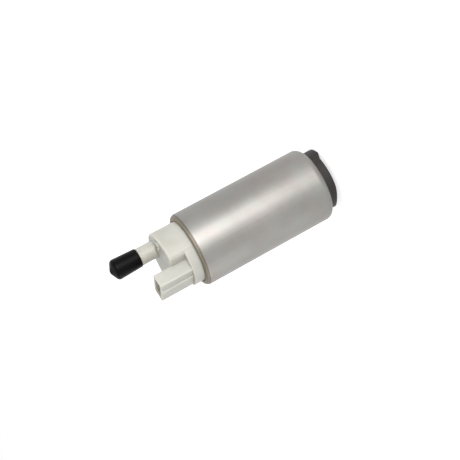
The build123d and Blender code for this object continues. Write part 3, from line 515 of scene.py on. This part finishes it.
# %% [markdown]
# ## The can
# The real can is a drawn tube whose two ends are rolled in over the covers. Rolling leaves a
# fine crease where the lip begins. It could be the solid with a bump, but a crease in the mesh
# shows on the outline and in the highlight, so the can is turned anew, as on a lathe. The
# section of the wall is a closed ring of corners, each with its own radius in the attribute
# "corner". It is filleted and swept round a circle. Curve to Mesh lays the section's X outwards
# and its Y downwards on this circle. The faces come out pointing inwards, so they are flipped.

# %% The rule for a turned shell
turned, turned_in = new_tree("turned_shell", {
    "Outer radius": float, "Segments": int, "Corner steps": int, "Crease height": float,
    "Crease depth": float, "Crease width": float, "Crease reach": float})
section = tree_node(turned, "GeometryNodeMeshToCurve", {"Mesh": turned_in["Geometry"]})
corner_radius = tree_node(turned, "GeometryNodeInputNamedAttribute", {"Name": "corner"},
                          data_type="FLOAT")
rounded = tree_node(turned, "GeometryNodeFilletCurve",
                    {"Curve": section.outputs[0], "Count": turned_in["Corner steps"],
                     "Radius": corner_radius.outputs["Attribute"], "Limit Radius": True},
                    mode="POLY")
circle = tree_node(turned, "GeometryNodeCurvePrimitiveCircle",
                   {"Resolution": turned_in["Segments"], "Radius": turned_in["Outer radius"]})
swept = tree_node(turned, "GeometryNodeCurveToMesh", {"Curve": circle.outputs[0],
                                                      "Profile Curve": rounded.outputs[0]})
shell = tree_node(turned, "GeometryNodeFlipFaces", {"Mesh": swept.outputs[0]})
print("turned shell rule so far", len(turned.nodes), "nodes")

# %% [markdown]
# ## The crease of the lip
# The rolling tool pressed the crease into the finished tube, and the rule does the same: points
# near the crease's height move inwards along their normals, most in the middle and smoothly less
# to both sides. Only the outside may move, so points well inside the outer radius are left out.

# %% Press the crease in
sharp_can_edge = math.radians(35)
point = tree_node(turned, "ShaderNodeSeparateXYZ",
                  {0: tree_node(turned, "GeometryNodeInputPosition").outputs[0]}).outputs
across = tree_node(turned, "ShaderNodeCombineXYZ", {"X": point["X"], "Y": point["Y"]})
from_axis = tree_node(turned, "ShaderNodeVectorMath", {0: across.outputs[0]},
                      operation="LENGTH").outputs["Value"]
wall_begins = calculate(turned, "SUBTRACT", turned_in["Outer radius"], turned_in["Crease reach"])
on_outside = calculate(turned, "GREATER_THAN", from_axis, wall_begins)
off_crease = calculate(turned, "ABSOLUTE",
                       calculate(turned, "SUBTRACT", point["Z"], turned_in["Crease height"]))
pressed = tree_node(turned, "ShaderNodeMapRange",
                    {"Value": off_crease, "From Max": turned_in["Crease width"],
                     "To Min": 1.0, "To Max": 0.0}, interpolation_type="SMOOTHSTEP")
inwards = calculate(turned, "MULTIPLY", pressed.outputs[0], -1.0)
push = calculate(turned, "MULTIPLY", inwards, turned_in["Crease depth"])
shift = tree_node(turned, "ShaderNodeVectorMath",
                  {0: tree_node(turned, "GeometryNodeInputNormal").outputs[0], "Scale": push},
                  operation="SCALE")
creased = tree_node(turned, "GeometryNodeSetPosition", {"Geometry": shell.outputs[0],
                                                        "Selection": on_outside,
                                                        "Offset": shift.outputs[0]})
close_tree(turned, turned_in, creased.outputs[0], sharp_can_edge)
print("turned shell rule with", len(turned.nodes), "nodes")

# %% [markdown]
# ## Turn the can
# The section has eight corners: the foot's lip, the outside, the top's lip, and the inside one
# wall further in. The big rounds are where the sheet bends, so the inside round is the outside
# one less the wall. A height is written with a minus, because the section's Y goes downwards.

# %% The wall's corners and the can
can_wall = 1.2 * mm
foot_lip_radius = 15.5 * mm
top_lip_radius = 16.15 * mm
foot_round = 3.9 * mm
top_round = 2.3 * mm
inside_radius = can_radius - can_wall
can_foot = can_low.z
can_top = can_high.z
can_corners = [
    (foot_lip_radius, can_foot, 0.0), (can_radius, can_foot, foot_round),
    (can_radius, can_top, top_round), (top_lip_radius, can_top, lip_edge),
    (top_lip_radius, can_top - can_wall, 0.0),
    (inside_radius, can_top - can_wall, top_round - can_wall),
    (inside_radius, can_foot + can_wall, foot_round - can_wall),
    (foot_lip_radius, can_foot + can_wall, 0.0)]
wall_mesh = bpy.data.meshes.new("can_section")
wall_mesh.from_pydata([(radius - can_radius, -height, 0) for radius, height, _ in can_corners],
                      [(at, (at + 1) % len(can_corners)) for at in range(len(can_corners))], [])
corner_sizes = wall_mesh.attributes.new("corner", "FLOAT", "POINT")
for place, (_, _, size) in zip(corner_sizes.data, can_corners):
    place.value = size
can_piece = grow("can_turned", turned, wall_mesh, "housing", "can_steel", "can_shell", {
    "Outer radius": can_radius, "Segments": 192, "Corner steps": 20,
    "Crease height": crease_height, "Crease depth": 0.18 * mm, "Crease width": 0.40 * mm,
    "Crease reach": 1.0 * mm})
can_reach = [max(vertex.co[axis] for vertex in can_piece.data.vertices) for axis in range(3)]
print("can reaches", [round(value / mm, 2) for value in can_reach], "mm")

# %% [markdown]
# ## Springs, leads and windings
# Every coil in the pump is wire on a helix: two valve springs, two brush springs, the twisted
# leads of the brushes and the windings of the chokes. The solids are plain sleeves and rods in
# their place. Blender's spiral curve has one steady pitch, but a real spring lies closed at both
# ends, where it is seated. So a line of points is bent into a helix by its index, and its height
# is worked out from the turns so far: closed turns climb by little more than a wire, and the
# open turns between them share the rest of the height.

# %% How high the wire is after each turn
closed_pitch_in_radii = 2.04
coil, coil_in = new_tree("coil_of_wire", {
    "Coil radius": float, "Wire radius": float, "Height": float, "Turns": float,
    "Closed turns": float, "Turn between copies": float, "Points": int})
index = tree_node(coil, "GeometryNodeInputIndex").outputs[0]
last_index = calculate(coil, "SUBTRACT", coil_in["Points"], 1.0)
turned_so_far = calculate(coil, "MULTIPLY", calculate(coil, "DIVIDE", index, last_index),
                          coil_in["Turns"])
closed_pitch = calculate(coil, "MULTIPLY", coil_in["Wire radius"], closed_pitch_in_radii)
both_closed = calculate(coil, "MULTIPLY", coil_in["Closed turns"], 2.0)
wire_thickness = calculate(coil, "MULTIPLY", coil_in["Wire radius"], 2.0)
whole_climb = calculate(coil, "SUBTRACT", coil_in["Height"], wire_thickness)
open_climb = calculate(coil, "SUBTRACT", whole_climb,
                       calculate(coil, "MULTIPLY", both_closed, closed_pitch))
open_turns = calculate(coil, "SUBTRACT", coil_in["Turns"], both_closed)
open_pitch = calculate(coil, "DIVIDE", open_climb, open_turns)
at_foot = calculate(coil, "MINIMUM", turned_so_far, coil_in["Closed turns"])
head_begins = calculate(coil, "SUBTRACT", coil_in["Turns"], coil_in["Closed turns"])
at_head = calculate(coil, "MAXIMUM", calculate(coil, "SUBTRACT", turned_so_far, head_begins), 0.0)
closed_now = calculate(coil, "ADD", at_foot, at_head)
open_now = calculate(coil, "SUBTRACT", turned_so_far, closed_now)
climb = calculate(coil, "ADD", calculate(coil, "MULTIPLY", closed_now, closed_pitch),
                  calculate(coil, "MULTIPLY", open_now, open_pitch))
print("coil rule so far", len(coil.nodes), "nodes")

# %% [markdown]
# ## Bend the wire and copy it
# The turns so far give the angle, and the climb gives the height, so each point of the line finds
# its place on the helix. Sweeping a small circle along it makes the wire. The wire is copied to
# each point of the starting mesh. Two points apart make a pair of chokes, and three points in
# one place, each copy turned by a third of a circle, make a twisted lead.

# %% The rule for a coil of wire
wire_sides = 12
sharp_wire_edge = math.radians(60)
angle = calculate(coil, "MULTIPLY", turned_so_far, math.tau)
on_helix = tree_node(coil, "ShaderNodeCombineXYZ", {
    "X": calculate(coil, "MULTIPLY", coil_in["Coil radius"], calculate(coil, "COSINE", angle)),
    "Y": calculate(coil, "MULTIPLY", coil_in["Coil radius"], calculate(coil, "SINE", angle)),
    "Z": calculate(coil, "ADD", climb, coil_in["Wire radius"])})
line = tree_node(coil, "GeometryNodeMeshLine", {"Count": coil_in["Points"]})
bent = tree_node(coil, "GeometryNodeSetPosition", {"Geometry": line.outputs[0],
                                                   "Position": on_helix.outputs[0]})
centre_line = tree_node(coil, "GeometryNodeMeshToCurve", {"Mesh": bent.outputs[0]})
round_wire = tree_node(coil, "GeometryNodeCurvePrimitiveCircle",
                       {"Resolution": wire_sides, "Radius": coil_in["Wire radius"]})
wire = tree_node(coil, "GeometryNodeCurveToMesh", {"Curve": centre_line.outputs[0],
                                                   "Profile Curve": round_wire.outputs[0],
                                                   "Fill Caps": True})
copy_index = tree_node(coil, "GeometryNodeInputIndex").outputs[0]
copy_turn = tree_node(coil, "ShaderNodeCombineXYZ", {
    "Z": calculate(coil, "MULTIPLY", copy_index, coil_in["Turn between copies"])})
rotation = tree_node(coil, "FunctionNodeEulerToRotation", {0: copy_turn.outputs[0]})
copies = tree_node(coil, "GeometryNodeInstanceOnPoints", {
    "Points": coil_in["Geometry"], "Instance": wire.outputs[0],
    "Rotation": rotation.outputs[0]})
close_tree(coil, coil_in, copies.outputs[0], sharp_wire_edge)
print("coil rule with", len(coil.nodes), "nodes")

# %% [markdown]
# ## Wind a coil in the place of a solid
# A coil has to fill the sleeve that it replaces, so its outer radius and its height come from
# the solid's box, and only the wire and the number of turns are given. A spring or a lead is
# fixed at its upper end, and its lower end follows a valve or a brush by the travel of its joint.
# Real wire would then change its pitch. Squashing the piece towards its upper end would come
# close, but here each piece only gets a mesh of its own.

# %% Winding, and a mesh of each piece's own
points_per_turn = 28


def wind(node, slot, wire_diameter, turns, closed_turns=1.0, centres=None, strands=1):
    """A coil that fills the box of a sleeve, or several on the centres that are given."""
    low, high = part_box(node)
    outer = (high.x - low.x) / 2
    middle = (low + high) / 2
    centres = centres or [(middle.x, middle.y)]
    feet = bpy.data.meshes.new(node + "_feet")
    feet.from_pydata([(x, y, low.z) for x, y in centres for _ in range(strands)], [], [])
    return grow(node + "_wire", coil, feet, "housing", slot, node, {
        "Coil radius": outer - wire_diameter / 2, "Wire radius": wire_diameter / 2,
        "Height": high.z - low.z, "Turns": float(turns), "Closed turns": closed_turns,
        "Turn between copies": math.tau / strands, "Points": int(turns * points_per_turn) + 1})


def give_way(piece):
    """Give a spring or a lead its own copy of its mesh."""
    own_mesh(piece)


# %% [markdown]
# ## Valve springs
# The check valve's spring holds the poppet on its seat, and the relief valve's holds the ball on
# its hole. Both are plain compression springs of round wire, with one closed turn at each end.
# They could stay sleeves, which nobody sees in the closed can, but a pump that is taken apart
# would show tubes instead of springs, so both are wound.

# %% Check valve and relief valve springs
check_wire = 0.5 * mm
relief_wire = 0.35 * mm
check_spring = wind("check_valve_spring", "spring_steel", check_wire, turns=7)
give_way(check_spring)
relief_spring = wind("relief_spring", "spring_steel", relief_wire, turns=6)
give_way(relief_spring)

# %% [markdown]
# ## Brush springs and leads
# A spring presses each brush on the commutator, and a soft copper lead carries its current. The
# lead is a bundle of strands, laid as a rope so that it bends easily: three thick strands that
# share one place, without closed turns, give that look. On the real pump both shorten as their
# brush rises, but here they keep the length of their sleeves.

# %% One spring and one lead for each brush
brush_spring_wire = 0.45 * mm
lead_strand = 0.4 * mm
for side in ("positive", "negative"):
    spring = wind(f"brush_spring_{side}", "spring_steel", brush_spring_wire, turns=8)
    give_way(spring)
    lead = wind(f"brush_lead_{side}", "copper_wire", lead_strand, turns=3, closed_turns=0.0,
                strands=3)
    give_way(lead)

# %% [markdown]
# ## Choke windings
# A choke is thick wire wound close round a ferrite rod. The two chokes stand on either side of
# the pump's middle, and their solid is one node, so one piece holds both. The wire is as thick
# as the room between the rod and the outside allows, and the turns follow from its thickness.

# %% Two windings in one piece
core_radius = 1.0 * mm
gap_to_core = 0.1 * mm
pitch_in_wires = 1.06
winding_low, winding_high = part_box("choke_windings")
winding_radius = (winding_high.x - winding_low.x) / 2
choke_wire = winding_radius - core_radius - gap_to_core
choke_x = (winding_low.x + winding_high.x) / 2
choke_y = winding_high.y - winding_radius
choke_turns = (winding_high.z - winding_low.z) / (pitch_in_wires * choke_wire) - 1
wind("choke_windings", "copper_wire", choke_wire, choke_turns, closed_turns=0.0,
     centres=[(choke_x, choke_y), (choke_x, -choke_y)])
print("choke wire", round(choke_wire / mm, 2), "mm in", round(choke_turns, 1), "turns")

# %% [markdown]
# ## Floor
# The photograph has a plain white ground. Enough light to turn grey paper white would also burn
# out the pump, so the white comes from the rays instead. Where the camera, a gloss or a clear
# piece sees the floor, it glows white, and that glow lights nothing else. For all other rays it
# is plain paper, and it still takes the pump's shadow.

# %% A sheet of paper
floor_half = 12.0
paper_white = 0.8
paper_glow = 0.72


def seen_directly(tree):
    """One for rays from the camera, from gloss and through glass, and zero for the rest."""
    path = tree_node(tree, "ShaderNodeLightPath")
    seen = path.outputs["Is Camera Ray"]
    for other in ("Is Glossy Ray", "Is Transmission Ray"):
        seen = calculate(tree, "MAXIMUM", seen, path.outputs[other])
    return seen


floor_mesh = bpy.data.meshes.new("floor")
floor_mesh.from_pydata([(-floor_half, -floor_half, 0), (floor_half, -floor_half, 0),
                        (floor_half, floor_half, 0), (-floor_half, floor_half, 0)],
                       [], [(0, 1, 2, 3)])
floor = bpy.data.objects.new("floor", floor_mesh)
bpy.context.scene.collection.objects.link(floor)

floor_finish = bpy.data.materials.new("floor")
floor_finish.use_nodes = True
floor_tree = floor_finish.node_tree
floor_tree.nodes.clear()
glow = calculate(floor_tree, "MULTIPLY", seen_directly(floor_tree), paper_glow)
paper = tree_node(floor_tree, "ShaderNodeBsdfDiffuse",
                  {"Color": (paper_white, paper_white, paper_white, 1.0)})
shine = tree_node(floor_tree, "ShaderNodeEmission", {"Strength": glow})
both = tree_node(floor_tree, "ShaderNodeAddShader", {0: paper.outputs[0], 1: shine.outputs[0]})
tree_node(floor_tree, "ShaderNodeOutputMaterial", {"Surface": both.outputs[0]})
floor_mesh.materials.append(floor_finish)
print("floor", 2 * floor_half, "m wide")

# %% [markdown]
# ## The room
# The pump stands in a white room. To the camera and in reflections the world is plain white, so
# that the metal shows that white too. As a light it is only half as strong, which leaves it to
# the lamps to shape the can. The Standard view transform shows a colour about as it is written.

# %% World
room_fill = 0.52
world = bpy.data.worlds.new("studio")
bpy.context.scene.world = world
world.use_nodes = True
world_tree = world.node_tree
world_tree.nodes.clear()
strength = number(world_tree, seen_directly(world_tree), room_fill, 1.0, start=0.0, end=1.0)
sky = tree_node(world_tree, "ShaderNodeBackground", {"Color": (1.0, 1.0, 1.0, 1.0),
                                                     "Strength": strength})
tree_node(world_tree, "ShaderNodeOutputWorld", {"Surface": sky.outputs[0]})
bpy.context.scene.view_settings.view_transform = "Standard"
print("room fill", room_fill)

# %% [markdown]
# ## Light
# The bright band along the can is the image of one wide soft box. A lamp close by would light
# one end of the can more than the other, so this one stands 4 m away, a little to the right of
# the camera and nearly level with the can, and the band runs from end to end. A weak strip from
# the left lifts the dark side, and a small box overhead lights the faces that look up.

# %% Soft boxes
def soft_box(name, turn, rise, distance, width, height, power):
    """A lamp that faces the pump, turned to the right of the camera and raised, in degrees."""
    lamp_data = bpy.data.lights.new(name, "AREA")
    lamp_data.shape = "RECTANGLE"
    lamp_data.size = width
    lamp_data.size_y = height
    lamp_data.energy = power
    lamp = bpy.data.objects.new(name, lamp_data)
    bpy.context.scene.collection.objects.link(lamp)
    to_camera = level.cross(straight_up)
    heading = (to_camera * math.cos(math.radians(turn)) + level * math.sin(math.radians(turn))
               + straight_up * math.tan(math.radians(rise))).normalized()
    lamp.location = target + heading * distance
    lamp.rotation_euler = heading.to_track_quat("Z", "Y").to_euler()
    print(name, "lamp at", [round(value, 2) for value in lamp.location])


soft_box("key", turn=17.0, rise=0.9, distance=4.0, width=2.7, height=0.2, power=126.0)
soft_box("fill", turn=-92.0, rise=8.0, distance=1.1, width=1.0, height=0.28, power=2.8)
soft_box("top", turn=60.0, rise=78.0, distance=1.1, width=0.7, height=0.7, power=2.4)
